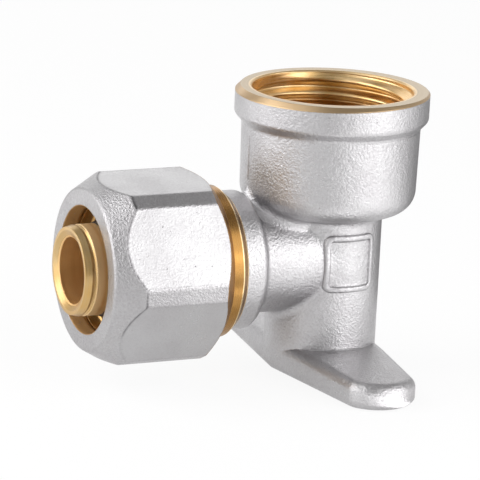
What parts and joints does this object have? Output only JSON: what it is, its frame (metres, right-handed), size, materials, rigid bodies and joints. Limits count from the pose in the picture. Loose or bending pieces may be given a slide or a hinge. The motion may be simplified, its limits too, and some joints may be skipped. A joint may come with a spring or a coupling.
{
  "type": "wall plate elbow",
  "caption": "Plated brass wall plate elbow: a lugged wall plate carries a female threaded socket and a compression nut with a split ring for multilayer pipe.",
  "frame": {"origin": "on the socket's axis, on the wall face of the plate", "axes": "+Z along the socket's axis, out of its mouth and away from the wall; the pipe branch points along -X; the plate's lugs lie along Y"},
  "size_m": [0.0485, 0.0434, 0.0373],
  "materials": {
    "plated_brass": "blasted nickel plate, machined faces left as bare brass",
    "plated_nut": "blasted nickel plate, bore left as bare brass",
    "bare_brass": "turned",
    "white_plastic": "matte",
    "seal_rubber": "matte"
  },
  "bodies": {
    "elbow": {"fitting_body": "plated_brass", "insulating_washer": "white_plastic", "o_ring_front": "seal_rubber", "o_ring_rear": "seal_rubber"},
    "ring": {"clamp_ring": "bare_brass"},
    "nut": {"compression_nut": "plated_nut"}
  },
  "joints": [
    {"name": "ring_slide", "type": "slide", "parent": "elbow", "child": "ring", "axis": [-1, 0, 0], "range_m": [0, 0.0076]},
    {"name": "nut_turn", "type": "hinge", "parent": "ring", "child": "nut", "pos_m": [-0.025, 0, 0.0152], "axis": [-1, 0, 0], "range_deg": [0, 1800]}
  ],
  "couplings": [
    {"joint": "ring_slide", "follows": "nut_turn", "m_per_rad": 0.00023873}
  ]
}
